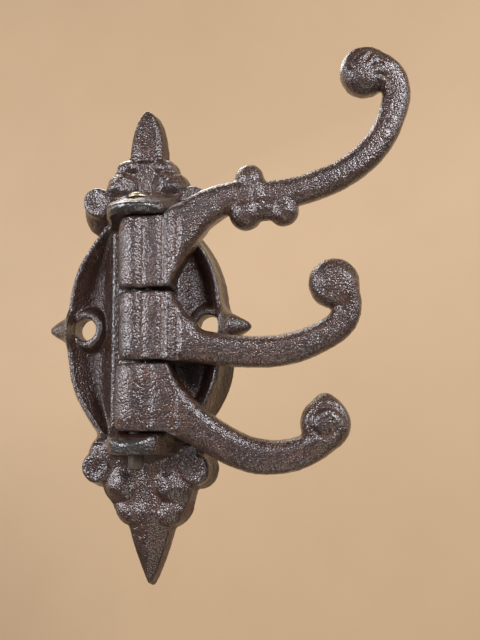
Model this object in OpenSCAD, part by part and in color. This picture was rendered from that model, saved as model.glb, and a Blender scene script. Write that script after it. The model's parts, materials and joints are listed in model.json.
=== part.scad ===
// Wall-mounted swivel hook rail: a cast back plate with two ears, one hinge pin and three hooks
// threaded on the pin, each free to swing from side to side. Millimetres.
// Frame: back face on the wall is y = 0, the front faces -Y, +Z is up along the pin, +X is the
// viewer's right. The origin is on the back face, midway between the two screw holes.

/* [Back plate] */
// half width of the oval at its rim
oval_half_w = 33; // [32.8:0.1:33.4]
// height of the oval's rim above the wall
rim_h = 11.4; // [11:0.1:11.5]
// height of the flat spine behind the hooks
spine_h = 9.4; // [8.6:0.1:9.6]
// half width of that spine
spine_half_w = 14; // [13.4:0.1:14.6]
// width of the rim's crest
rim_w = 3; // [2.6:0.1:3.6]
// floor of the two hollows beside the spine
pocket_floor = 3.6; // [3:0.1:4.5]
// distance of each screw hole from the middle
hole_x = 26.3; // [26:0.1:26.6]
// radius of the screw holes
hole_r = 4.2; // [3.6:0.1:4.4]
// how far the side spurs reach from the middle
spur_x = 43.6; // [42:0.1:45]

/* [Hinge] */
// distance of the pin's axis from the wall
pin_y = 19.2; // [19:0.1:19.6]
// radius of the pin
pin_r = 3; // [2.9:0.05:3.1]
// radial play between pin and hooks
pin_play = 0.08; // [0.05:0.01:0.1]
// outer radius of the long hook's barrel
top_barrel_r = 7.8; // [7.6:0.1:8]
// outer radius of the middle hook's barrel
middle_barrel_r = 7.5; // [7.3:0.1:7.7]
// outer radius of the lower hook's barrel
lower_barrel_r = 8.5; // [8.3:0.1:8.6]
// radius of the ears that hold the pin
ear_r = 11; // [10.5:0.1:11.3]
// angle past square at which the hooks stop against the plate
rest_angle = 5; // [4:0.1:5]

/* [Hooks] */
// half thickness of the hooks across their own plane
arm_flat = 4.8; // [4.4:0.1:4.8]
// half width of the long hat hook's arm
top_arm_r = 5.7; // [5.4:0.1:6]
// half width of the middle hook's arm
middle_arm_r = 6.1; // [5.8:0.1:6.3]
// half width of the lower hook's arm
lower_arm_r = 6.4; // [6.2:0.1:6.5]

/* [Hidden] */
$fn = 96;
eps = 0.01;
// the oval is the overlap of two round-sided frustums set this far off the middle
oval_off = 33.5;
oval_z = -0.5;
oval_draft = 2.6;
// ends of the three barrels up the pin, and the gap between neighbours
stack_low = -41.1;
stack_mid_low = -14.7;
stack_mid_high = 13.5;
stack_top = 42.9;
barrel_gap = 1.2;
pin_low = -56.2;
pin_top = 54.2;
head_low = 51.4;
head_r = 4.4;
mouth_gap = 0.6;
ear_foot = -51.4;
press = 0.02;
far = 200;

// ---- helpers ----

// drawn flat (x right, y up) and grown out from the wall
module off_wall() rotate([90, 0, 0]) children();

// seen from above (x right, y away from the wall) and grown up the pin
module up_pin() mirror([0, 1, 0]) children();

// both sides of the middle
module both_sides() {
    children();
    mirror([1, 0, 0]) children();
}

// a round boss with slightly sloping sides and a rounded top edge
module lobe(x, z, r, side_h, round_h) {
    translate([x, z, 0]) {
        cylinder(h = side_h, r1 = r + 1.5, r2 = r + 0.1);
        translate([0, 0, side_h]) {
            rotate_extrude() translate([r - round_h, 0]) circle(round_h);
            cylinder(h = round_h - 0.1, r = r - round_h);
        }
    }
}

// the overlap of two round-sided frustums, pointed at top and bottom
module oval(half_w, z0, h, draft) {
    intersection() {
        oval_side(half_w, z0, h, draft, -1);
        oval_side(half_w, z0, h, draft, 1);
    }
}

module oval_side(half_w, z0, h, draft, side) {
    translate([side * oval_off, oval_z, z0])
        cylinder(h = h, r1 = oval_off + half_w + draft, r2 = oval_off + half_w);
}

// a leaf point: a flat outline under a ridged roof that sinks towards the tip; full holds the
// share of the half width kept a third and two thirds of the way along
module leaf(base_z, tip_z, half_w, full, edge_h, ridge_h, tip_h) {
    up = tip_z > base_z ? 1 : -1;
    span = abs(tip_z - base_z);
    intersection() {
        linear_extrude(ridge_h) polygon([
            [-half_w, base_z - up * 4], [half_w, base_z - up * 4], [half_w, base_z],
            [half_w * full[0], base_z + up * span * 0.33], [half_w * full[1], base_z + up * span * 0.67],
            [half_w * 0.14, tip_z], [-half_w * 0.14, tip_z],
            [-half_w * full[1], base_z + up * span * 0.67], [-half_w * full[0], base_z + up * span * 0.33],
            [-half_w, base_z]
        ]);
        // roof across
        translate([0, base_z - up * 4, 0]) rotate([90, 0, 0]) translate([0, 0, up > 0 ? -far : 0])
            linear_extrude(far) polygon([
                [-half_w, -eps], [half_w, -eps], [half_w, edge_h], [0, ridge_h], [-half_w, edge_h]
            ]);
        // fall towards the tip
        translate([-half_w, 0, 0]) rotate([90, 0, 90]) linear_extrude(2 * half_w) polygon([
            [base_z - up * 4, -eps], [tip_z, -eps], [tip_z, tip_h], [base_z, ridge_h + 1],
            [base_z - up * 4, ridge_h + 1]
        ]);
    }
}

// a bar bent in the plane of the hook: the walk starts along +X, and a positive turn goes up
module bend(bend_r, turn, r) {
    s = turn < 0 ? -1 : 1;
    translate([0, 0, s * bend_r]) rotate([90, 0, 0]) rotate([0, 0, s > 0 ? -90 : 90 + turn])
        rotate_extrude(angle = abs(turn)) translate([bend_r, 0]) circle(r);
}

module bent_bar(steps, r, i = 0) {
    if (i < len(steps)) {
        bend_r = steps[i][0];
        turn = steps[i][1];
        s = turn < 0 ? -1 : 1;
        bend(bend_r, turn, r);
        translate([bend_r * sin(abs(turn)), 0, s * bend_r * (1 - cos(turn))]) rotate([0, -turn, 0]) {
            // a thin collar, so that neighbouring bends run into each other
            if (i < len(steps) - 1) rotate([0, 90, 0]) cylinder(h = 1.2, r = r + 0.05, center = true);
            bent_bar(steps, r, i + 1);
        }
    }
}

// the rolled-up end of a hook: a ball with flattened sides
module scroll_end(x, z, r, half_t) {
    translate([x, 0, z]) intersection() {
        sphere(r);
        cube([2 * r + 2, 2 * half_t, 2 * r + 2], center = true);
    }
}

// a web of the arm's thickness, drawn in the hook's plane
module web(points) {
    rotate([90, 0, 0]) linear_extrude(2 * arm_flat, center = true) polygon(points);
}

// keeps an arm to its flattened thickness
module flattened() {
    intersection() {
        union() children();
        cube([far * 2, 2 * arm_flat, far * 2], center = true);
    }
}

// the part of a hook that turns on the pin, with everything cast onto it
module on_pin(low, high, barrel_r) {
    translate([0, -pin_y, 0]) rotate([0, 0, rest_angle]) difference() {
        union() {
            translate([0, 0, low]) cylinder(h = high - low, r = barrel_r);
            children();
        }
        translate([0, 0, low - 1]) cylinder(h = high - low + 2, r = pin_r + pin_play);
    }
}

// ---- sub-parts ----

// one hollow beside the spine, with a land left round the screw hole
module pocket() {
    slope = 33;
    difference() {
        intersection() {
            translate([-oval_off, oval_z, pocket_floor])
                cylinder(h = rim_h, r1 = oval_off + oval_half_w - rim_w - 1.4,
                         r2 = oval_off + oval_half_w - rim_w);
            translate([spine_half_w, oval_z, spine_h]) rotate([0, slope, 0])
                translate([0, -60, 0]) cube([40, 120, 40]);
            translate([spine_half_w, -60, pocket_floor]) cube([40, 120, rim_h]);
        }
        translate([hole_x, 0, 0]) cylinder(h = spine_h - 0.4, r1 = 8.8, r2 = 7.4);
    }
}

// the ear's outline from above: round about the pin, spreading towards the plate
module ear_outline() {
    translate([0, pin_y]) circle(ear_r);
    polygon([[-13.5, 2], [13.5, 2], [ear_r * 0.99, pin_y + 1], [-ear_r * 0.99, pin_y + 1]]);
}

// an ear: the outline, cut to a profile given as [distance from wall, height] points
module ear(profile, low, high) {
    intersection() {
        up_pin() translate([0, 0, low]) linear_extrude(high - low) ear_outline();
        mirror([0, 1, 0]) translate([-20, 0, 0]) rotate([90, 0, 90]) linear_extrude(40) polygon(profile);
    }
}

module top_ornament() {
    off_wall() {
        linear_extrude(6.5) polygon([
            [-24, 42], [24, 42], [28, 48], [26, 57], [17, 64], [13, 71], [9, 76], [-9, 76], [-13, 71],
            [-17, 64], [-26, 57], [-28, 48]
        ]);
        both_sides() {
            lobe(21.4, 54.2, 6.4, 7.4, 3);
            lobe(9.6, 60.4, 6.4, 9.6, 3.1);
            lobe(8.4, 69.2, 4.6, 8, 2.2);
        }
        leaf(73, 96.2, 9, [0.9, 0.68], 5.4, 8.8, 4.8);
    }
    ear([[2, 42.2], [9, 43.2], [31, 44.2], [31, 46.4], [28, 47.6], [18, 54.2], [10, 59], [2, 60]], 42, 61);
}

module bottom_ornament() {
    off_wall() {
        linear_extrude(6.5) polygon([
            [-23, -42], [23, -42], [27.4, -52], [25, -63], [17.6, -68], [16, -75], [10, -81], [-10, -81],
            [-16, -75], [-17.6, -68], [-25, -63], [-27.4, -52]
        ]);
        both_sides() {
            lobe(20.4, -56.8, 6.6, 7.2, 2.6);
            lobe(10, -63.4, 6.4, 9, 3.1);
            lobe(8.6, -73.4, 5, 8.2, 2.4);
        }
        lobe(0, -66, 4.6, 8.2, 2.2);
        leaf(-78, -104.2, 10.6, [0.8, 0.5], 5, 9.8, 4.6);
    }
    ear(
        [[2, -41.4], [9, -41.4], [31, -44.4], [31, -49.6], [22, -50.4], [14, -53], [9, -60], [2, -60]],
        -61, -41
    );
}

module backplate() {
    color([0.2, 0.14, 0.12])
    difference() {
        union() {
            off_wall() {
                difference() {
                    oval(oval_half_w, 0, rim_h, oval_draft);
                    oval(oval_half_w - rim_w, spine_h, rim_h, 0);
                    both_sides() pocket();
                }
                both_sides() intersection() {
                    translate([29, 0, 6.2]) rotate([0, 95, 0]) cylinder(h = spur_x - 29, r1 = 6.4, r2 = 1);
                    translate([0, -10, 0]) cube([spur_x, 20, 20]);
                }
            }
            top_ornament();
            bottom_ornament();
        }
        // screw holes
        both_sides() translate([hole_x, 1, 0]) rotate([90, 0, 0]) cylinder(h = 20, r = hole_r);
        // bore of the two ears, and its wider mouth above the upper one
        translate([0, -pin_y, -70]) cylinder(h = 140, r = pin_r - press);
        translate([0, -pin_y, head_low - 1]) cylinder(h = 20, r = head_r + mouth_gap);
        // room round the pin's end below the lower one
        translate([0, -pin_y, -70]) cylinder(h = 70 + ear_foot, r = pin_r + mouth_gap);
    }
}

module hinge_pin() {
    color([0.72, 0.66, 0.5])
    translate([0, -pin_y, 0]) {
        translate([0, 0, pin_low]) cylinder(h = 0.8, r1 = pin_r - 0.8, r2 = pin_r);
        translate([0, 0, pin_low + 0.8]) cylinder(h = head_low - pin_low, r = pin_r);
        // low domed head
        translate([0, 0, head_low]) cylinder(h = 1, r = head_r);
        translate([0, 0, head_low + 1]) cylinder(h = pin_top - head_low - 1, r1 = head_r, r2 = 2.2);
    }
}

// the long hat hook: a rising arm with a knot of berries, then a high curl
module top_hook() {
    color([0.21, 0.15, 0.13])
    on_pin(stack_mid_high + barrel_gap / 2, stack_top, top_barrel_r) {
        web([
            [0, 14.6], [14, 16.5], [21, 25.5], [25.5, 31.5], [30, 38], [36, 42.8], [34, 53], [27, 52.2],
            [21, 49.6], [13, 42.6], [0, 42.6]
        ]);
        flattened() {
            translate([14, 0, 36]) rotate([0, -54.6, 0])
                bent_bar([[36, -57.7], [72.3, 28.7], [43, 56], [14, 70]], top_arm_r);
        }
        // the knot: a berry above, and two below that run into each other
        translate([45.2, 0, 57.4]) sphere(6.2);
        translate([43.8, 0, 44]) sphere(6.8);
        translate([51, 0, 44.4]) sphere(5.4);
        translate([58.4, 0, 44.8]) sphere(6);
        scroll_end(92.6, 101.2, 10.4, 6.8);
    }
}

// the middle coat hook: a shallow bowl ending in a curl
module middle_hook() {
    color([0.21, 0.15, 0.13])
    on_pin(stack_mid_low + barrel_gap / 2, stack_mid_high - barrel_gap / 2, middle_barrel_r) {
        web([[0, -12.8], [14, -12.2], [25, -14.6], [30, -6.4], [24, -2.4], [19, 3.4], [14, 12.2], [0, 12.6]]);
        flattened() {
            translate([17.5, 0, -7]) rotate([0, 17, 0])
                bent_bar([[107, 17], [50.2, 33.4], [12.2, 98]], middle_arm_r);
        }
        scroll_end(77.8, 14.8, 9.9, 6.8);
    }
}

// the lower coat hook: falls away from the plate, then curls up
module lower_hook() {
    color([0.21, 0.15, 0.13])
    on_pin(stack_low, stack_mid_low - barrel_gap / 2, lower_barrel_r) {
        web([
            [0, -40.6], [13, -39.8], [24, -46.4], [31, -38], [23, -30.2], [17, -23.6], [13, -16.2],
            [0, -15.6]
        ]);
        flattened() {
            translate([13, 0, -29.8]) rotate([0, 45, 0])
                bent_bar([[98.8, 18], [32, 67], [9.6, 30], [6.8, 62]], lower_arm_r);
        }
        scroll_end(72.9, -38.6, 9.8, 6.8);
    }
}

backplate();
hinge_pin();
top_hook();
middle_hook();
lower_hook();
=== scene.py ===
import json
import math

import bpy
import numpy as np
from mathutils import Matrix, Vector


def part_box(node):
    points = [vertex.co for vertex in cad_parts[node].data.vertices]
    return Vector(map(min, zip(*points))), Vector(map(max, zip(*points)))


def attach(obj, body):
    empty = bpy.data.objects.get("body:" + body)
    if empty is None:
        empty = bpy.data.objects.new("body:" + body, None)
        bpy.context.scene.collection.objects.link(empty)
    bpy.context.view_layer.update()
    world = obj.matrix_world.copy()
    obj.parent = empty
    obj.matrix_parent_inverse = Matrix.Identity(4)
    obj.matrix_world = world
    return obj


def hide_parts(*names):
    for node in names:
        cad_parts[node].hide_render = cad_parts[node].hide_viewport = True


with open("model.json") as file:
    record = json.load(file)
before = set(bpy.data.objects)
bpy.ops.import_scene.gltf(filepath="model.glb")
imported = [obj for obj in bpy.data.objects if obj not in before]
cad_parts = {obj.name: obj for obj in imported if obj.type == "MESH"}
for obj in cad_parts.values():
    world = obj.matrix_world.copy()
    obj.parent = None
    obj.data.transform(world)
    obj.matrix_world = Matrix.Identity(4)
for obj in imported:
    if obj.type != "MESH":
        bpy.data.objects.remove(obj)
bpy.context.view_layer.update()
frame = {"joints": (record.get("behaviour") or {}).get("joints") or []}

# A cast iron swivel hook. Shapes are worked out in millimetres, in the part's own frame: x to the
# viewer's right, z up the hinge pin, and h, the height off the wall, is -y. Each casting is a
# distance field that is cut out by surface nets, which gives it the soft fillets of sand casting.

MM = 0.001


def node_mm(name):
    """The low and high corners of a CAD node, in mm as (x, h, z)."""
    (x0, y0, z0), (x1, y1, z1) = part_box(name)
    return (x0 / MM, -y1 / MM, z0 / MM), (x1 / MM, -y0 / MM, z1 / MM)


PLATE_LOW, PLATE_HIGH = node_mm("backplate")
PIN_LOW, PIN_HIGH = node_mm("hinge_pin")
JOINTS = {j["name"]: j for j in frame["joints"]}
PIN_H = -JOINTS["top_hook_swing"]["pos_m"][1] / MM
HEAD_R = (PIN_HIGH[0] - PIN_LOW[0]) / 2
HEAD_LIP = 1.4  # how far the pin's head stands out past its shank
PIN_R = HEAD_R - HEAD_LIP
BORE_GAP = 0.35  # radial gap of the visible bores, wide enough for the castings' rough skin
MOUTH_GAP = 0.6  # radial gap round the pin's head, in the mouth above the upper ear
MOUTH_FLOOR = 50.4
STEP = 0.5  # sample spacing of the castings
REST_ANGLE = math.radians(5)

# ---------------------------------------------------------------- fields


def smax(a, b, k):
    """Maximum with a fillet of about k."""
    h = np.clip(0.5 + 0.5 * (a - b) / k, 0, 1)
    return b + (a - b) * h + k * h * (1 - h)


def smin(a, b, k):
    return -smax(-a, -b, k)


def smooth(x, low, high):
    """0 below low, 1 above high, and a soft step between."""
    t = np.clip((x - low) / (high - low), 0, 1)
    return t * t * (3 - 2 * t)


def ellipsoid(x, y, z, centre, radii):
    p = [(v - c) / r for v, c, r in zip((x, y, z), centre, radii)]
    k0 = np.sqrt(p[0] ** 2 + p[1] ** 2 + p[2] ** 2)
    k1 = np.sqrt(sum((q / r) ** 2 for q, r in zip(p, radii))) + 1e-6
    return k0 * (k0 - 1) / k1


def polygon(x, z, points):
    """Signed distance to a closed outline, negative inside."""
    best = np.full(np.broadcast(x, z).shape, 1e9, np.float32)
    inside = np.zeros(best.shape, bool)
    for (ax, az), (bx, bz) in zip(points, points[1:] + points[:1]):
        ex, ez = bx - ax, bz - az
        t = np.clip(((x - ax) * ex + (z - az) * ez) / (ex * ex + ez * ez), 0, 1)
        best = np.minimum(best, (x - ax - t * ex) ** 2 + (z - az - t * ez) ** 2)
        if az != bz:
            crossing = (z < az) != (z < bz)
            inside ^= crossing & (x < ax + (z - az) * ex / ez)
    return np.sqrt(best) * np.where(inside, -1, 1)


def lattice_noise(points, cell, seed):
    """Smooth noise from -1 to 1 at points (n, 3), with features of about cell mm."""
    table = np.random.default_rng(seed).uniform(-1, 1, (64, 64, 64))
    p = points / cell + 1000.0
    i = np.floor(p).astype(int)
    f = p - i
    f = f * f * (3 - 2 * f)
    out = np.zeros(len(points))
    for dx in (0, 1):
        for dy in (0, 1):
            for dz in (0, 1):
                weight = (
                    np.abs(1 - dx - f[:, 0]) * np.abs(1 - dy - f[:, 1]) * np.abs(1 - dz - f[:, 2])
                )
                out += weight * table[(i[:, 0] + dx) % 64, (i[:, 1] + dy) % 64, (i[:, 2] + dz) % 64]
    return out


# ---------------------------------------------------------------- meshing


class Grid:
    """Sample points of a box, as broadcastable axes x, y, z."""

    def __init__(self, low, high, step):
        self.low, self.step = np.array(low, float), step
        counts = [int(math.ceil((b - a) / step)) + 1 for a, b in zip(low, high)]
        axes = [a + step * np.arange(n) for a, n in zip(low, counts)]
        self.x = axes[0].astype(np.float32)[:, None, None]
        self.y = axes[1].astype(np.float32)[None, :, None]
        self.z = axes[2].astype(np.float32)[None, None, :]


def surface_nets(field, grid):
    """Vertices (n, 3) in mm and quads (m, 4) of the surface where field is 0."""
    inside = field < 0
    shape = np.array(field.shape) - 1
    corners = [(i, j, k) for i in (0, 1) for j in (0, 1) for k in (0, 1)]

    def part(a, c):
        return a[tuple(slice(o, o + n) for o, n in zip(c, shape))]

    count = sum(part(inside, c).astype(np.int8) for c in corners)
    cells = np.argwhere((count > 0) & (count < 8))
    value = {c: field[tuple((cells + c).T)] for c in corners}
    total = np.zeros((len(cells), 3))
    hits = np.zeros(len(cells))
    for a in corners:
        for axis in range(3):
            if a[axis]:
                continue
            b = tuple(v + (i == axis) for i, v in enumerate(a))
            va, vb = value[a], value[b]
            cut = (va < 0) != (vb < 0)
            t = np.where(cut, va / np.where(cut, va - vb, 1), 0)
            spot = np.array(a, float)[None, :] + t[:, None] * np.eye(3)[axis]
            total += np.where(cut[:, None], spot, 0)
            hits += cut
    verts = grid.low + (cells + total / hits[:, None]) * grid.step
    number = np.full(tuple(shape), -1, np.int32)
    number[tuple(cells.T)] = np.arange(len(cells))
    quads = []
    for axis in range(3):
        u, v = (axis + 1) % 3, (axis + 2) % 3
        first = [slice(1, -1)] * 3
        first[axis] = slice(0, -1)
        second = list(first)
        second[axis] = slice(1, None)
        a, b = inside[tuple(first)], inside[tuple(second)]
        for flip, mask in ((False, a & ~b), (True, ~a & b)):
            at = np.argwhere(mask) + [int(i != axis) for i in range(3)]
            ring = []
            for du, dv in ((1, 1), (0, 1), (0, 0), (1, 0)):
                cell = at.copy()
                cell[:, u] -= du
                cell[:, v] -= dv
                ring.append(number[tuple(cell.T)])
            quads.append(np.stack(ring[::-1] if flip else ring, 1))
    return verts, np.concatenate(quads)


def make_mesh(name, verts, quads, attributes):
    """A smooth-shaded object from verts in metres, with point attributes for its material."""
    mesh = bpy.data.meshes.new(name)
    mesh.vertices.add(len(verts))
    mesh.vertices.foreach_set("co", verts.astype(np.float32).ravel())
    mesh.loops.add(quads.size)
    mesh.loops.foreach_set("vertex_index", quads.astype(np.int32).ravel())
    mesh.polygons.add(len(quads))
    mesh.polygons.foreach_set("loop_start", np.arange(0, quads.size, 4, dtype=np.int32))
    mesh.polygons.foreach_set("loop_total", np.full(len(quads), 4, np.int32))
    mesh.update(calc_edges=True)
    mesh.polygons.foreach_set("use_smooth", np.ones(len(quads), bool))
    for key, values in attributes.items():
        layer = mesh.attributes.new(key, "FLOAT", "POINT")
        layer.data.foreach_set("value", values.astype(np.float32))
    obj = bpy.data.objects.new(name, mesh)
    bpy.context.scene.collection.objects.link(obj)
    return obj


def vertex_normals(verts, quads):
    a, b, c, d = (verts[quads[:, i]] for i in range(4))
    face = np.cross(c - a, d - b)
    out = np.zeros_like(verts)
    for i in range(4):
        np.add.at(out, quads[:, i], face)
    return out / (np.linalg.norm(out, axis=1)[:, None] + 1e-12)


def hollowness(verts, quads, rounds):
    """How far each vertex sits below its neighbours' mean, in mm: above 0 in creases, below 0 on
    edges. More rounds look at wider neighbourhoods."""
    normal = vertex_normals(verts, quads)
    a = np.concatenate([quads[:, i] for i in range(4)])
    b = np.concatenate([quads[:, (i + 1) % 4] for i in range(4)])
    soft = verts.copy()
    for _ in range(rounds):
        total = np.zeros_like(soft)
        count = np.zeros(len(soft))
        np.add.at(total, a, soft[b])
        np.add.at(count, a, 1)
        np.add.at(total, b, soft[a])
        np.add.at(count, b, 1)
        soft = total / count[:, None]
    return ((soft - verts) * normal).sum(1)


def nowhere(verts):
    return np.zeros(len(verts))


def cast_piece(name, field, grid, to_row, seed, polish=nowhere, painted_shade=nowhere):
    """Cuts a casting out of its field, gives it a sand-cast skin and puts it in the row's frame."""
    verts, quads = surface_nets(field, grid)
    hollow = hollowness(verts, quads, 12)
    normal = vertex_normals(verts, quads)
    # painted shade: the second mask says where the material paints shade
    bright, painted_shade_level = polish(verts), painted_shade(verts)
    skin = 0.11 * lattice_noise(verts, 2.6, seed) + 0.09 * lattice_noise(verts, 1.4, seed + 1)
    swell = 0.16 * lattice_noise(verts, 9.0, seed + 2)
    verts = verts + normal * (skin * (1 - bright) + swell)[:, None]
    attributes = {"hollow": hollow, "polish": bright, "painted_shade": painted_shade_level}
    return make_mesh(name, to_row(verts) * MM, quads, attributes)


# ---------------------------------------------------------------- back plate

OVAL_HALF_W = 33.1
OVAL_OFF = 33.5
OVAL_X = -0.4
OVAL_Z = -0.5
RIM_H = 11.4
SPINE_H = 9.4
SPINE_HALF_W = 14.2
POCKET_FLOOR = 3.6
EAR_R = 11.0
HOLE_X = 26.4
HOLE_R = 4.6
LOW_SHIFT, TOP_SHIFT = 1.6, -1.1  # the ornaments are not quite on the middle
# paired bosses, given for the right side: x, z, radius, height
LOBES = ((21.0, 53.9, 7.0, 10.2), (20.5, -56.8, 6.9, 9.8))
BALLS = ((9.9, 60.2, 8.4, 12.8), (10.4, -64.0, 8.8, 10.9))
BUDS = ((8.6, 68.9, 4.4, 10.0), (8.3, -74.2, 5.6, 9.7))


def lens(x, z, half_w):
    """Signed distance to the oval with pointed ends and full shoulders."""
    shoulder = 0.9 * np.exp(-(((np.abs(z - OVAL_Z) - 24) / 11) ** 2))
    arc = np.sqrt((np.abs(x - OVAL_X) + OVAL_OFF) ** 2 + (z - OVAL_Z) ** 2)
    return arc - OVAL_OFF - half_w - shoulder


def centred(x, z):
    """x and z in the ornament's own frame, which sits off the middle and, above, a little askew."""
    top = smooth(z, 44, 54)
    return x - LOW_SHIFT * smooth(-z, 56, 76) - TOP_SHIFT * top, z + 0.045 * x * top


def knob(x, z, spot, sharp=2.6, stretch=1.0, lean=0.0):
    """Height of a round-edged boss on both sides of the middle, below 0 outside it, and the
    distance from its centre as a share of its radius. lean turns a stretched one."""
    cx, cz, r, height = spot
    du, dz = np.abs(x) - cx, z - cz
    c, s = math.cos(lean), math.sin(lean)
    rho = np.hypot((du * c + dz * s) / stretch, dz * c - du * s) / r
    top = height * np.clip(1 - rho**sharp, 0, 1) ** (1 / sharp)
    return np.where(rho < 1, top, height * (1 - rho) * 2.5), rho


def circles(x, z, spots, grow):
    d = np.full(np.broadcast(x, z).shape, 1e3, np.float32)
    for cx, cz, r, _ in spots:
        d = smin(d, np.hypot(np.abs(x) - cx, z - cz) - r - grow, 1.2)
    return d


def spear_half(t, half_w, full, point):
    """Half width of a spear from its base, t = 0, to its tip, t = 1."""
    t = np.clip(t, 0, 1)
    return half_w * (1 - t**full) ** point


def spears(x, z, tops):
    """Signed distance to both spears; each top is base, tip, half width, fullness, sharpness."""
    d = np.full(np.broadcast(x, z).shape, 1e3, np.float32)
    for base, tip, half_w, full, point in tops:
        t = (z - base) / (tip - base)
        ends = np.maximum(-t - 0.2, t - 1) * abs(tip - base)
        d = np.minimum(d, np.maximum((np.abs(x) - spear_half(t, half_w, full, point)) * 0.9, ends))
    return d


def plate_foot(x, z):
    """Signed distance to the plate's outline at the wall."""
    d = lens(x, z, OVAL_HALF_W + 1.7 + 3.0 * smooth(-z, -15, 28))
    x0, z = centred(x, z)
    shoulders = ((21.0, 50.6, 9.4, 0), (20.5, -57.3, 8.6, 0), (17.5, -51.5, 9.0, 0))
    d = smin(d, circles(x0, z, shoulders, 0), 2.0)
    d = smin(d, circles(x0, z, LOBES + BALLS + BUDS, 0.6), 1.2)
    top = [(-19, 40), (19, 40), (19, 57), (9, 74), (-9, 74), (-19, 57)]
    d = smin(d, polygon(x0, z, top), 1.0)
    belly = ((np.abs(x0) / 17.8) ** 3 + (np.abs(z + 65.5) / 16.2) ** 3) ** (1 / 3)
    d = smin(d, (belly - 1) * 16, 1.5)
    tips = ((73, PLATE_HIGH[2] + 0.7, 8.8, 2.2, 0.56), (-76, PLATE_LOW[2], 12.0, 0.72, 0.62))
    return smin(d, spears(x0, z, tips), 1.2)


def plate_face(x, z):
    """Signed distance to the edge where the front turns into the side walls."""
    d = lens(x, z, OVAL_HALF_W - 0.2)
    x0, z = centred(x, z)
    d = smin(d, circles(x0, z, LOBES + BALLS + BUDS + ((17.5, -51.5, 7.3, 0),), -0.5), 1.0)
    belly = ((np.abs(x0) / 15.4) ** 3 + (np.abs(z + 65.5) / 14) ** 3) ** (1 / 3)
    d = smin(d, (belly - 1) * 14, 1.0)
    top = [(-16, 40), (16, 40), (15, 60), (7, 74), (-7, 74), (-15, 60)]
    d = smin(d, polygon(x0, z, top), 1.0)
    tips = ((73, PLATE_HIGH[2] - 0.7, 7.6, 2.2, 0.56), (-77, PLATE_LOW[2] + 2.5, 9.4, 1.05, 0.7))
    return smin(d, spears(x0, z, tips), 1.0)


def oval_relief(x, z):
    """Height of the oval: the rim's crest, two hollows, the spine and the screw-hole lands."""
    inward = -lens(x, z, OVAL_HALF_W)
    rim = RIM_H - 1.5 * np.maximum(inward - 1.6, 0)
    spine = SPINE_H + 0.35 * np.exp(-(((np.abs(x) - SPINE_HALF_W + 0.8) / 1.3) ** 2))
    spine = spine - 0.8 * np.maximum(np.abs(x) - SPINE_HALF_W, 0)
    land_d = np.hypot(np.abs(x) - HOLE_X, z)
    land = 9.2 - 1.0 * np.maximum(np.abs(land_d - 6.0) - 0.9, 0) ** 1.5
    h = smax(np.full_like(rim, POCKET_FLOOR), spine, 2.5)
    h = smax(h, rim, 2.2)
    return smax(h, land, 1.6)


def grain_relief(x, z, spot, depth):
    """Three low grains round the crown of a ball."""
    cx, cz, r, _ = spot
    du, dz = np.abs(x) - cx, z - cz
    rho = np.hypot(du, dz) / r
    return depth * np.exp(-(((rho - 0.5) / 0.22) ** 2)) * np.cos(3 * np.arctan2(dz, du) + 0.7)


def plate_relief(x, z):
    h = oval_relief(x, z)
    beyond = smooth(np.abs(z - OVAL_Z), 42, 47)
    h = h * (1 - beyond) + 7.2 * beyond
    # the slope from the front of each ear down to the ornament
    slope = np.minimum(30.0 - 1.45 * (z - 46.4), 30) - 0.10 * np.maximum(np.abs(x) - 3, 0) ** 2
    slope = slope - 1.6 * np.maximum(z - 54, 0)
    h = smax(h, np.where(z > 30, slope - 3.0 * np.maximum(45.5 - z, 0), -5), 1.5)
    slope = 17.0 - 1.2 * np.maximum(-z - 49, 0) - 0.03 * x**2 - 2.5 * np.maximum(z + 46, 0)
    h = smax(h, np.where(z < -30, slope, -5), 3.0)
    x0, z = centred(x, z)
    ax = np.abs(x0)
    for spot in LOBES:
        top, rho = knob(x0, z, spot, sharp=5.0)
        ring = 0.35 * np.exp(-(((rho - 0.78) / 0.13) ** 2))
        top = top - 0.9 * np.exp(-((rho / 0.55) ** 2)) + ring
        h = smax(h, top, 1.2)
    web = 9.4 - 0.02 * (z + 52) ** 2 - 1.2 * np.maximum(ax - 22, 0)
    h = smax(h, np.where(z < -44, web, -5) - 8 * smooth(z, -48, -43), 1.5)
    for spot, depth, blend in zip(BALLS, (0.6, 0.3), (1.6, 2.6)):
        top, _ = knob(x0, z, spot, sharp=2.2)
        h = smax(h, top + grain_relief(x0, z, spot, depth), blend)
    for spot, lean, stretch in zip(BUDS, (-0.3, 0.6), (1.55, 1.4)):
        top, _ = knob(x0, z, spot, stretch=stretch, lean=lean)
        h = smax(h, top, 1.2)
    # a soft vein between the lower balls, with a groove each side of it
    vein = 9.9 - 0.45 * ax - 0.22 * np.maximum(np.abs(z + 64) - 8, 0) ** 1.3
    h = smax(h, np.where(z < -52, vein, -5), 0.8)
    # the spears: a domed one above, one of two facets below
    t = (z - 70) / (PLATE_HIGH[2] - 70)
    half = spear_half((z - 73) / (PLATE_HIGH[2] - 73), 7.9, 2.2, 0.56) + 0.4
    dome = 8.8 - 2.6 * t - 3.0 * (ax / half) ** 3.5 - 2.0 * np.maximum(72 - z, 0)
    h = smax(h - 60 * smooth(z, 74, 75.5), np.where(z > 62, dome, -5), 1.2)
    t = (-z - 74) / (-PLATE_LOW[2] - 74)
    half = np.interp(t.ravel(), (0, 0.33, 0.53, 0.76, 1), (9.4, 7.8, 6.2, 3.9, 1.4))
    half = half.reshape(t.shape)
    facets = 10.2 - 4.0 * t - (2.8 - 0.8 * t) * ax / half - 9 * np.maximum(-t, 0)
    return smax(h - 60 * smooth(-z, 79.5, 81), np.where(z < -66, facets, -5), 0.8)


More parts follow.
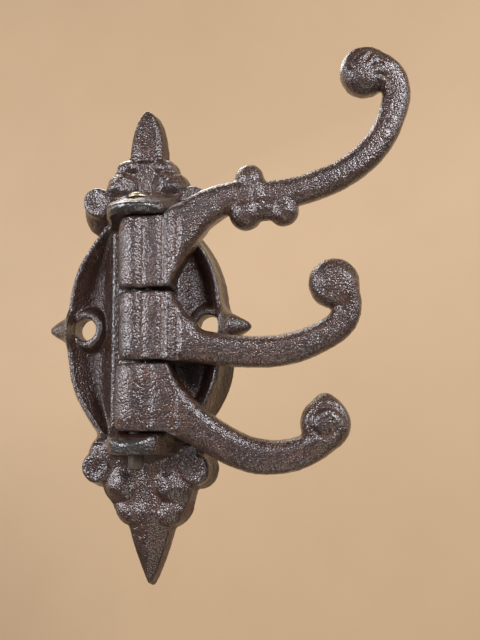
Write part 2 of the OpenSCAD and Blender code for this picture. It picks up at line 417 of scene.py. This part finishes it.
def ear(x, h, z, up):
    """One ear: round about the pin, spreading to the plate, thinner at its front."""
    r = 12.5 if up > 0 else 10.7
    side = r + 0.32 * np.maximum(PIN_H - h, 0)
    round_part = (np.sqrt((x / r) ** 2 + ((h - PIN_H) / EAR_R) ** 2) - 1) * EAR_R
    outline = np.where(h > PIN_H, round_part, np.abs(x) - side)
    # the inner face falls away beside the barrel, where it runs into the plate
    beside = smooth(np.abs(x), 8.8, 11.5) * np.clip((24 - h) / 15, 0, 1)
    if up > 0:
        inner = 43.3 - 2.2 * beside + 0 * h
        outer = 47.3 + 0.45 * np.maximum(27 - h, 0)
    else:
        inner = 41.35 - 0.8 * beside + 0.30 * np.maximum(h - 20, 0)
        outer = 49.7 + 0.10 * np.maximum(27 - h, 0)
    slab = smax(inner - up * z, up * z - outer, 1.0)
    return smax(outline, slab, 1.8)


def spur(x, h, z):
    """The turned points at the sides: a swollen root, a neck and a cone."""
    ax = np.abs(x)
    tip = PLATE_HIGH[0]
    at, radii = (28, 32.5, 34.6, 35.8, 39, 42.4, tip), (9.4, 8.8, 6.2, 5.4, 3.8, 1.9, 0.7)
    r = np.interp(ax.ravel(), at, radii).reshape(ax.shape).astype(np.float32)
    centre = 6.6 - 0.12 * (ax - 30)
    radial = np.sqrt((h - centre) ** 2 + z**2) - r
    flank = np.hypot(np.minimum(h - centre, 0) * 0.35, z) - r  # runs straight down to the wall
    return np.maximum(np.where(h > centre, radial, flank) * 0.9, np.maximum(ax - tip, 31.5 - ax))


def ear_polish(verts):
    """The fronts of the two ears are rubbed smooth."""
    _, h, z = verts.T
    return smooth(h, 24, 27.5) * smooth(np.abs(z), 43.2, 44.0)


def plate_painted_shade(verts):
    """Painted shade, a dark colour and a weaker coat: in the hollows of the oval, on the side walls
    and behind the ornaments' bosses.
    """
    x, h, z = verts.T
    inside = smooth(-lens(x, z, OVAL_HALF_W), 1.5, 4.0)
    pocket = inside * (1 - smooth(h, 7.0, 9.3))
    walls = (1 - inside) * (1 - smooth(h, 5.0, 8.2))
    return np.maximum(pocket, 0.9 * walls)


def plate_to_row(verts):
    return verts * [1, -1, 1]


def build_backplate():
    low = (PLATE_LOW[0] - 1, -1.25, PLATE_LOW[2] - 1)
    high = (PLATE_HIGH[0] + 1, PLATE_HIGH[1] + 3, PLATE_HIGH[2] + 2)
    grid = Grid(low, high, STEP)
    x, h, z = grid.x, grid.y, grid.z
    fx, fz = x[:, 0, :], z[:, 0, :]
    foot = plate_foot(fx + 0 * fz, fz + 0 * fx)
    face = plate_face(fx + 0 * fz, fz + 0 * fx)
    relief = plate_relief(fx + 0 * fz, fz + 0 * fx)
    # between the edge of the front and the foot the side walls run straight down
    top = relief * np.clip(-foot / (np.maximum(-foot, 0) + smax(face, 0 * face, 0.5) + 1e-3), 0, 1)
    top = smin(top, -foot * 9, 1.0)
    slope = np.hypot(*np.gradient(top, STEP))
    field = (h - top[:, None, :]) / np.sqrt(1 + slope[:, None, :] ** 2)
    field = smin(field, spur(x + 0 * (h + z), h + 0 * z, z), 1.8)
    for up in (1, -1):
        field = smin(field, ear(x, h, z, up), 1.8)
    field = np.maximum(field, -h)
    hole = np.sqrt((np.abs(x) - HOLE_X) ** 2 + z**2) - HOLE_R
    field = smax(field, -hole, 1.0)
    pin_d = np.sqrt(x**2 + (h - PIN_H) ** 2)
    field = np.maximum(field, PIN_R + BORE_GAP - pin_d + 0 * z)
    mouth = np.maximum(pin_d - HEAD_R - MOUTH_GAP, MOUTH_FLOOR - z)
    field = smax(field, -mouth, 0.5)
    return cast_piece("plate_casting", field, grid, plate_to_row, 11, ear_polish, plate_painted_shade)


# ---------------------------------------------------------------- hooks


def walk(start, heading, bends, spacing=0.5):
    """Points along the centre line of a bar made of bends (radius, turn in degrees)."""
    u, z = start
    a = math.radians(heading)
    points = [(u, z)]
    for radius, turn in bends:
        turn = math.radians(turn)
        s = 1 if turn > 0 else -1
        cu, cz = u - s * radius * math.sin(a), z + s * radius * math.cos(a)
        n = max(2, int(abs(turn) * radius / spacing))
        for i in range(1, n + 1):
            b = a + turn * i / n
            points.append((cu + s * radius * math.sin(b), cz - s * radius * math.cos(b)))
        a += turn
        u, z = points[-1]
    return np.array(points)


def bar(u, z, points, widths):
    """In-plane distance to a bar whose half width runs through widths from start to end, and how
    far along it each spot is, from 0 to 1."""
    t = np.linspace(0, 1, len(points))
    half = np.interp(t, np.linspace(0, 1, len(widths)), widths)
    best = np.full(u.shape, 1e9, np.float32)
    along = np.zeros(u.shape, np.float32)
    for (pu, pz), w, ti in zip(points, half, t):
        d = np.hypot(u - pu, z - pz) - w
        closer = d < best
        best = np.where(closer, d, best)
        along = np.where(closer, ti, along)
    return best, along


def scroll(u, z, centre, start, turns, pitch, hand):
    """0 to 1 along a spiral groove wound round centre, widest at radius start."""
    du, dz = u - centre[0], z - centre[1]
    rho = np.hypot(du, dz)
    phi = hand * np.arctan2(dz, du)
    groove = np.zeros(u.shape)
    for k in range(-1, int(turns) + 2):
        wound = (phi / (2 * math.pi)) + k
        r = start - pitch * wound
        live = smooth(wound, -0.05, 0.12) * (1 - smooth(wound, turns - 0.15, turns))
        groove = np.maximum(groove, live * np.exp(-(((rho - r) / (0.28 * pitch)) ** 2)))
    return groove


def stroke(u, z, start, end, half):
    """0 to 1 along a straight soft line."""
    (au, az), (bu, bz) = start, end
    eu, ez = bu - au, bz - az
    t = np.clip(((u - au) * eu + (z - az) * ez) / (eu * eu + ez * ez), 0, 1)
    return np.exp(-((np.hypot(u - au - t * eu, z - az - t * ez) / half) ** 2))


def ripples(u, z, shape):
    """How deep the upright dips between the bands of a hook's root are."""
    low, high = shape["barrel"]
    dips = np.zeros(u.shape)
    for at, depth, half, fall in shape["dips"]:
        inside = smooth(z, low - 2, low + 1) * (1 - smooth(z, high - fall, high + 3))
        dips = dips + depth * inside * np.exp(-(((u - at) / half) ** 2))
    return dips


def hook_field(grid, shape):
    """Distance field of one hook in its own plane: u out from the pin, y across, z up."""
    u, y, z = grid.x, grid.y, grid.z
    fu, fz = (u + 0 * z)[:, 0, :], (z + 0 * u)[:, 0, :]
    points = walk(*shape["bar"])
    arm, along = bar(fu, fz, points, shape["widths"])
    root = polygon(fu, fz, shape["root"]) + 1.0
    plane = smin(arm, root, 4.0)
    centre, head_r = shape["head"]
    head_d = np.hypot(fu - centre[0], fz - centre[1])
    plane = smin(plane, head_d - head_r, 1.2)
    thick = np.interp(along.ravel(), *shape["thick"]).reshape(along.shape)
    near_head = np.exp(-((head_d / (head_r * 0.85)) ** 4))
    thick = thick * (1 - near_head) + shape["head_t"] * near_head
    thick = thick - shape["groove"] * scroll(fu, fz, centre, *shape["scroll"])
    dips = ripples(fu, fz, shape)
    thick = thick - dips
    for start, end, half, depth in shape["flutes"]:
        thick = thick - depth * stroke(fu, fz, start, end, half)
    thick, plane = thick[:, None, :], plane[:, None, :]
    # the block beside the barrel has crisp ends, the arm is round
    soft = np.minimum(thick - 0.2, 1.3 + (shape["soft"] - 1.3) * smooth(fu, 13.5, 19)[:, None, :])
    a, b = plane + soft, np.abs(y) - thick + soft
    field = np.minimum(np.maximum(a, b), 0) + np.hypot(np.maximum(a, 0), np.maximum(b, 0)) - soft
    for spot, radii in shape["knots"]:
        field = smin(field, ellipsoid(u, y, z, (spot[0], 0, spot[1]), radii), 1.4)
    low, high = shape["barrel"]
    ends = np.abs(z - (low + high) / 2) - (high - low) / 2
    r = shape["barrel_r"] - 0.045 * np.maximum(ends + 6, 0) ** 1.6
    barrel = smax(np.hypot(u, y) - r + dips[:, None, :], ends, 1.3)
    field = smin(field, barrel, 1.6)
    # nothing beside the barrel is taller than it; further out the arm is free
    field = np.maximum(field, ends - 400 * smooth(u, 11.5, 13))
    return np.maximum(field, PIN_R + BORE_GAP - np.hypot(u, y) + 0 * z)


def hook_to_row(verts):
    u, y, z = verts.T
    c, s = math.cos(REST_ANGLE), math.sin(REST_ANGLE)
    return np.stack([u * c - y * s, u * s + y * c - PIN_H, z], 1)


# Each hook, in mm and degrees. bar: start, heading and bends of its centre line. widths, thick: its
# half sizes in the plane and across it. root: the web at the barrel. head: centre and radius of the
# rolled end, head_t its half thickness. groove, scroll: depth of the spiral in it, and its first
# radius, turns, pitch and hand. soft: how far the arm's edges are rounded. dips: the upright
# grooves of the root, or ridges where the depth is below 0, as place, depth, half width and how far
# under the barrel's top they fade. flutes: straight cuts in the head. knots: the berries, as centre
# and radii. barrel: its lowest and highest z.
TOP = {
    "bar": ((14, 36), 54.6, ((36, -57.7), (72.3, 28.7), (43, 53.6), (16.2, 36), (8.5, 95))),
    "widths": (6.6, 6.0, 5.9, 5.8, 5.8, 5.7, 5.6, 5.6, 5.2),
    "thick": ((0, 0.1, 0.3, 1), (7.0, 6.0, 4.9, 4.7)),
    "root": [
        (0, 13.2), (14.6, 13.2), (17, 19), (20.5, 25), (25, 31.5), (30, 38),
        (36, 43), (33, 53), (27, 52.4), (21, 49.8), (13.5, 43.9), (0, 43.9),
    ],
    "head": ((92.4, 101.2), 10.2),
    "head_t": 6.6,
    "groove": 0.9,
    "scroll": (8.6, 0.6, 4.6, 1),
    "soft": 4.6,
    "dips": ((2.7, 0.85, 1.6, 0), (10.8, 0.8, 1.2, 0), (13.2, -0.4, 1.1, 0), (16.2, 1.2, 1.7, 6)),
    "flutes": (
        ((94.5, 100.5), (98.8, 101.5), 0.7, 0.9),
        ((96.0, 97.4), (100.4, 97.0), 0.7, 0.9),
        ((97.0, 94.4), (101.0, 92.6), 0.7, 0.9),
        ((92.4, 103.4), (95.4, 107.4), 0.7, 0.8),
    ),
    "knots": (
        ((45.2, 57.4), (6.0, 5.6, 6.4)),
        ((47.8, 51.6), (3.8, 6.0, 8.6)),
        ((43.6, 44.0), (6.8, 6.2, 6.8)),
        ((51.0, 45.6), (5.2, 4.4, 4.8)),
        ((58.6, 44.6), (6.0, 5.4, 6.1)),
    ),
    "barrel": (14.1, 42.9),
}
MIDDLE = {
    "bar": ((14, -6.0), -17, ((121, 17), (50.2, 33.4), (12.2, 110))),
    "widths": (6.8, 6.5, 6.2, 6.2, 6.1, 5.9, 5.6, 5.1),
    "thick": ((0, 0.15, 0.4, 1), (7.0, 6.0, 4.9, 4.7)),
    "root": [(0, -15.1), (15, -15.1), (25, -14.2), (25, 1.0), (20.5, 5), (15, 13.6), (0, 13.9)],
    "head": ((77.6, 14.8), 9.9),
    "head_t": 6.6,
    "groove": 0.8,
    "scroll": (8.2, 0.8, 4.4, 1),
    "soft": 4.6,
    "dips": ((3.0, 0.75, 1.5, 0), (10.8, 0.75, 1.2, 0), (13.6, -0.4, 1.1, 0), (16.6, 1.1, 1.6, 5)),
    "flutes": (),
    "knots": (),
    "barrel": (-14.1, 12.9),
}
LOWER = {
    "bar": ((13, -29.8), -45, ((98.8, 18), (32, 67), (9.6, 30), (6.6, 80))),
    "widths": (6.9, 6.8, 6.8, 6.7, 6.5, 6.1, 5.5, 4.6),
    "thick": ((0, 0.15, 0.4, 1), (7.0, 6.0, 4.9, 4.7)),
    "root": [
        (0, -42.1), (12, -42.1), (24, -47.2), (31, -38),
        (23, -30.2), (18, -23.4), (14, -14.3), (0, -14.3),
    ],
    "head": ((72.9, -39.0), 9.7),
    "head_t": 6.6,
    "groove": 1.2,
    "scroll": (7.6, 1.0, 4.4, 1),
    "soft": 4.6,
    "dips": ((4.4, 0.35, 1.8, 0), (10.0, -0.4, 3.0, 0), (15.9, 0.6, 1.1, 12)),
    "flutes": (),
    "knots": (),
    "barrel": (-41.1, -15.3),
}


def build_hook(name, shape, node, seed):
    reach = shape["head"][0][0] + shape["head"][1] + 12
    (left, _, low), (_, _, high) = node_mm(node)
    grid = Grid((left - 1, left - 1, low - 3), (reach, 1 - left, high + 3), STEP)
    return cast_piece(name, hook_field(grid, dict(shape, barrel_r=-left)), grid, hook_to_row, seed)


# ---------------------------------------------------------------- pin


def build_pin():
    """A turned pin: a low domed head above, and a rounded end that shows below."""
    low, high = PIN_LOW[2], PIN_HIGH[2]
    dome, head, collar = 1.1, 2.4, 2.75
    arc = [math.radians(90 * i / 8) for i in range(9)]
    profile = [(PIN_R * math.sin(a), low + dome * (1 - math.cos(a))) for a in arc]
    profile += [(PIN_R, z) for z in np.linspace(low + dome + 1, high - 2.8, 24)]
    profile += [(PIN_R + 0.1, high - collar), (HEAD_R - 0.15, high - collar)]
    profile += [(HEAD_R * math.cos(a), high - head + head * math.sin(a)) for a in arc]
    n = 40  # sides
    verts, quads = [], []
    for r, z in profile:
        for k in range(n):
            a = 2 * math.pi * k / n
            verts.append((r * math.cos(a), r * math.sin(a) - PIN_H, z))
    for j in range(len(profile) - 1):
        for k in range(n):
            m = (k + 1) % n
            quads.append((j * n + k, j * n + m, (j + 1) * n + m, (j + 1) * n + k))
    verts = np.array(verts)
    attributes = {"hollow": nowhere(verts), "polish": np.ones(len(verts)), "painted_shade": nowhere(verts)}
    return make_mesh("pin_turned", verts * MM, np.array(quads), attributes)


# ---------------------------------------------------------------- materials


def shader(name):
    mat = bpy.data.materials.new(name)
    mat.use_nodes = True
    nodes = mat.node_tree.nodes
    nodes.clear()
    out = nodes.new("ShaderNodeOutputMaterial")
    bsdf = nodes.new("ShaderNodeBsdfPrincipled")
    mat.node_tree.links.new(bsdf.outputs["BSDF"], out.inputs["Surface"])
    return mat, mat.node_tree, bsdf


def noise(tree, coords, size_mm, detail=3.0, rough=0.55):
    node = tree.nodes.new("ShaderNodeTexNoise")
    node.inputs["Scale"].default_value = 1 / (size_mm * MM)
    node.inputs["Detail"].default_value = detail
    node.inputs["Roughness"].default_value = rough
    tree.links.new(coords, node.inputs["Vector"])
    return node.outputs["Fac"]


def ramp(tree, value, stops):
    node = tree.nodes.new("ShaderNodeValToRGB")
    while len(node.color_ramp.elements) < len(stops):
        node.color_ramp.elements.new(0.5)
    for element, (at, colour) in zip(node.color_ramp.elements, stops):
        element.position = at
        element.color = (*colour, 1) if isinstance(colour, tuple) else (colour, colour, colour, 1)
    tree.links.new(value, node.inputs["Fac"])
    return node.outputs["Color"]


def math_node(tree, operation, a, b):
    node = tree.nodes.new("ShaderNodeMath")
    node.operation = operation
    for socket, value in zip(node.inputs, (a, b)):
        if isinstance(value, (int, float)):
            socket.default_value = value
        else:
            tree.links.new(value, socket)
    return node.outputs[0]


def mix_colour(tree, factor, a, b):
    node = tree.nodes.new("ShaderNodeMix")
    node.data_type = "RGBA"
    tree.links.new(factor, node.inputs[0])
    for socket, value in ((node.inputs[6], a), (node.inputs[7], b)):
        if isinstance(value, tuple):
            socket.default_value = (*value, 1)
        else:
            tree.links.new(value, socket)
    return node.outputs[2]


def voronoi(tree, coords, size_mm):
    """0 in the middle of each pebble, rising to its edges."""
    node = tree.nodes.new("ShaderNodeTexVoronoi")
    node.feature = "SMOOTH_F1"
    node.inputs["Scale"].default_value = 1 / (size_mm * MM)
    node.inputs["Smoothness"].default_value = 0.35
    tree.links.new(coords, node.inputs["Vector"])
    return node.outputs["Distance"]


def attribute(tree, name):
    node = tree.nodes.new("ShaderNodeAttribute")
    node.attribute_name = name
    return node.outputs["Fac"]


def cast_iron(name, tint):
    """Dark brown lacquer over a pebbled sand casting."""
    mat, tree, bsdf = shader(name)
    coords = tree.nodes.new("ShaderNodeTexCoord").outputs["Object"]
    hollow, polish = attribute(tree, "hollow"), attribute(tree, "polish")
    skin = math_node(tree, "SUBTRACT", 1.0, math_node(tree, "MULTIPLY", polish, 0.6))
    crease = ramp(tree, math_node(tree, "MULTIPLY", hollow, 2.4), ((0.14, 0.0), (0.85, 1.0)))
    wear = ramp(tree, math_node(tree, "MULTIPLY", hollow, -1.8), ((0.1, 0.0), (0.9, 1.0)))
    pebbles = voronoi(tree, coords, 0.8)
    grit = noise(tree, coords, 0.45, 2.0, 0.6)
    dark, brown = (0.029, 0.0115, 0.0075), (0.076, 0.029, 0.0155)
    # the last of these three colours is the dark of the painted shade
    rust, grey, shade_dark = (0.125, 0.044, 0.014), (0.048, 0.041, 0.039), (0.044, 0.018, 0.010)
    dark, brown, rust, grey = (tuple(c * tint for c in rgb) for rgb in (dark, brown, rust, grey))
    patches = ramp(tree, noise(tree, coords, 12, 5, 0.6), ((0.36, 0.0), (0.64, 1.0)))
    colour = mix_colour(tree, patches, dark, brown)
    grainy = ramp(tree, noise(tree, coords, 1.1, 3, 0.6), ((0.4, 0.0), (0.7, 1.0)))
    colour = mix_colour(tree, math_node(tree, "MULTIPLY", grainy, 0.35), colour, rust)
    spots = ramp(tree, noise(tree, coords, 6, 3), ((0.3, 0.15), (0.6, 0.9)))
    rusty = math_node(tree, "MULTIPLY", crease, spots)
    colour = mix_colour(tree, rusty, colour, rust)
    colour = mix_colour(tree, math_node(tree, "MULTIPLY", wear, 0.7), colour, grey)
    # painted shade: the gaps between the pebbles are darkened nearly to black
    pebble_gap_shade = ramp(tree, pebbles, ((0.38, 0.0), (0.72, 1.0)))
    colour = mix_colour(tree, math_node(tree, "MULTIPLY", pebble_gap_shade, 0.8), colour, (0.007, 0.006, 0.007))
    rubbed = math_node(tree, "MULTIPLY", polish, 0.8)
    colour = mix_colour(tree, rubbed, colour, (0.020, 0.021, 0.019))
    # painted shade: this mask says where shade is painted on the casting
    painted_shade = attribute(tree, "painted_shade")
    # painted shade also thins the coat there, and less so in creases
    painted_shade_level = math_node(tree, "MAXIMUM", painted_shade, math_node(tree, "MULTIPLY", crease, 0.7))
    # painted shade: a mottled dark colour mixed in by that mask
    shade_mottle = ramp(tree, noise(tree, coords, 5, 4), ((0.35, 0.0), (0.65, 1.0)))
    shade_colour = mix_colour(tree, shade_mottle, dark, shade_dark)
    colour = mix_colour(tree, math_node(tree, "MULTIPLY", painted_shade, 0.8), colour, shade_colour)
    tree.links.new(colour, bsdf.inputs["Base Color"])
    gloss = ramp(tree, noise(tree, coords, 4, 3), ((0.3, 0.28), (0.7, 0.42)))
    tree.links.new(gloss, bsdf.inputs["Roughness"])
    bsdf.inputs["Specular IOR Level"].default_value = 0.6
    coat = math_node(tree, "SUBTRACT", 1.0, math_node(tree, "MULTIPLY", painted_shade_level, 0.75))
    tree.links.new(coat, bsdf.inputs["Coat Weight"])
    bsdf.inputs["Coat IOR"].default_value = 1.65
    # the coat roughness is one value over the whole surface; a linked coat roughness
    # would be lost in the export
    bsdf.inputs["Coat Roughness"].default_value = 0.12
    relief = math_node(tree, "SUBTRACT", math_node(tree, "MULTIPLY", grit, 0.55), pebbles)
    dented = math_node(tree, "MULTIPLY", polish, 3.0)
    dents = math_node(tree, "MULTIPLY", noise(tree, coords, 2.6, 3), dented)
    relief = math_node(tree, "ADD", math_node(tree, "MULTIPLY", relief, skin), dents)
    bump = tree.nodes.new("ShaderNodeBump")
    bump.inputs["Distance"].default_value = 0.21 * MM
    tree.links.new(relief, bump.inputs["Height"])
    tree.links.new(bump.outputs["Normal"], bsdf.inputs["Normal"])
    tree.links.new(bump.outputs["Normal"], bsdf.inputs["Coat Normal"])
    return mat


def pin_metal():
    """A bright head gone slightly yellow; the rest is dark with lacquer."""
    mat, tree, bsdf = shader("pin_steel_turned")
    coords = tree.nodes.new("ShaderNodeTexCoord").outputs["Object"]
    split = tree.nodes.new("ShaderNodeSeparateXYZ")
    tree.links.new(coords, split.inputs["Vector"])
    below = math_node(tree, "SUBTRACT", 49 * MM, split.outputs["Z"])
    painted = ramp(tree, math_node(tree, "MULTIPLY", below, 400.0), ((0.0, 0.0), (1.0, 0.92)))
    steel = mix_colour(tree, noise(tree, coords, 2.5), (0.66, 0.54, 0.34), (0.78, 0.70, 0.52))
    colour = mix_colour(tree, painted, steel, (0.03, 0.02, 0.017))
    tree.links.new(colour, bsdf.inputs["Base Color"])
    metal = math_node(tree, "SUBTRACT", 1.0, painted)
    tree.links.new(metal, bsdf.inputs["Metallic"])
    rough = ramp(tree, noise(tree, coords, 0.8, 4), ((0.3, 0.22), (0.7, 0.42)))
    tree.links.new(rough, bsdf.inputs["Roughness"])
    bump = tree.nodes.new("ShaderNodeBump")
    bump.inputs["Strength"].default_value = 0.4
    bump.inputs["Distance"].default_value = 0.1 * MM
    tree.links.new(noise(tree, coords, 0.5, 3), bump.inputs["Height"])
    tree.links.new(bump.outputs["Normal"], bsdf.inputs["Normal"])
    return mat


# ---------------------------------------------------------------- build

PLATE_IRON = cast_iron("plate_iron_cast", 1.0)
HOOK_IRON = cast_iron("hook_iron_cast", 1.06)
PIN_STEEL = pin_metal()

BACKPLATE = build_backplate()
PIN = build_pin()
TOP_HOOK = build_hook("hook_top", TOP, "top_hook", 21)
MIDDLE_HOOK = build_hook("hook_middle", MIDDLE, "middle_hook", 31)
LOWER_HOOK = build_hook("hook_lower", LOWER, "lower_hook", 41)

PIECES = (
    (BACKPLATE, "plate", "backplate", "plate_iron", PLATE_IRON),
    (PIN, "plate", "hinge_pin", "pin_steel", PIN_STEEL),
    (TOP_HOOK, "top_arm", "top_hook", "hook_iron", HOOK_IRON),
    (MIDDLE_HOOK, "middle_arm", "middle_hook", "hook_iron", HOOK_IRON),
    (LOWER_HOOK, "lower_arm", "lower_hook", "hook_iron", HOOK_IRON),
)
for piece, body, node, slot, material in PIECES:
    piece.data.materials.append(material)
    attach(piece, body)
    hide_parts(node)

# ---------------------------------------------------------------- stage, light and camera


def stage_board():
    """A pale board behind the object, far enough off that the back can be seen too."""
    gap, half = 0.40, 3.0
    corners = [(sx * half, gap, sz * half) for sx, sz in ((-1, -1), (1, -1), (1, 1), (-1, 1))]
    mesh = bpy.data.meshes.new("pale_board")
    mesh.from_pydata(corners, [], [(0, 1, 2, 3)])
    obj = bpy.data.objects.new("pale_board", mesh)
    bpy.context.scene.collection.objects.link(obj)
    mat, tree, bsdf = shader("pale_board_paint")
    coords = tree.nodes.new("ShaderNodeTexCoord").outputs["Object"]
    paint = mix_colour(tree, noise(tree, coords, 60, 2), (0.62, 0.445, 0.26), (0.66, 0.48, 0.285))
    tree.links.new(paint, bsdf.inputs["Base Color"])
    bsdf.inputs["Roughness"].default_value = 0.6
    mesh.materials.append(mat)


def area_light(name, at, towards, size, power, colour):
    data = bpy.data.lights.new(name, "AREA")
    data.shape = "RECTANGLE"
    data.size, data.size_y = size
    data.energy = power
    data.color = colour
    obj = bpy.data.objects.new(name, data)
    obj.location = Vector(at)
    obj.rotation_euler = (Vector(towards) - Vector(at)).to_track_quat("-Z", "Y").to_euler()
    bpy.context.scene.collection.objects.link(obj)


def light_studio():
    world = bpy.data.worlds.new("studio_air")
    world.use_nodes = True
    world.node_tree.nodes["Background"].inputs["Color"].default_value = (1.0, 0.89, 0.84, 1)
    world.node_tree.nodes["Background"].inputs["Strength"].default_value = 0.15
    bpy.context.scene.world = world
    # windows to the left and the upper right, a dim one between them, and weak fills. Azimuth runs
    # from the front towards the viewer's right; the back fill hangs in front of the board
    near, far = 0.36, 1.3
    for name, azimuth, elevation, reach, size, power, colour in (
        ("window_left", -44, 12, far, (0.46, 0.42), 10.0, (0.97, 0.94, 1.0)),
        ("window_dim", -10, 12, far, (0.50, 0.40), 1.3, (0.97, 0.94, 1.0)),
        ("window_right", 42, 28, far, (0.38, 0.38), 10.0, (0.97, 0.94, 1.0)),
        ("fill_side", 76, 14, far, (0.35, 0.35), 2.5, (0.97, 0.95, 1.0)),
        ("fill_left", -84, 8, far, (0.40, 0.40), 2.0, (0.97, 0.95, 1.0)),
        ("fill_low", 20, -50, far, (0.60, 0.60), 2.5, (1.0, 0.90, 0.78)),
        ("fill_back", 215, 62, near, (0.20, 0.20), 0.5, (1.0, 0.97, 0.94)),
    ):
        a, e = math.radians(azimuth), math.radians(elevation)
        at = reach * Vector((math.cos(e) * math.sin(a), -math.cos(e) * math.cos(a), math.sin(e)))
        area_light(name, at, (0.03, 0, 0), size, power, colour)


def aim_camera():
    """A hand-held view from the front, a little to the right and below the middle."""
    at, target, roll = Vector((78.8, -247.9, -27.3)), Vector((38.1, 0.0, 3.2)), 0.52
    data = bpy.data.cameras.new("camera")
    data.sensor_fit = "VERTICAL"
    data.sensor_height = 24
    data.lens = 22.72
    data.clip_start = 0.01
    obj = bpy.data.objects.new("camera", data)
    forward = (target - at).normalized()
    right = forward.cross(Vector((0, 0, 1))).normalized()
    up = right.cross(forward)
    look = Matrix((right, up, -forward)).transposed().to_4x4()
    tilt = Matrix.Rotation(-math.radians(roll), 4, "Z")
    obj.matrix_world = Matrix.Translation(at * MM) @ look @ tilt
    bpy.context.scene.collection.objects.link(obj)
    bpy.context.scene.camera = obj


stage_board()
light_studio()
aim_camera()
bpy.context.scene.view_settings.view_transform = "Standard"
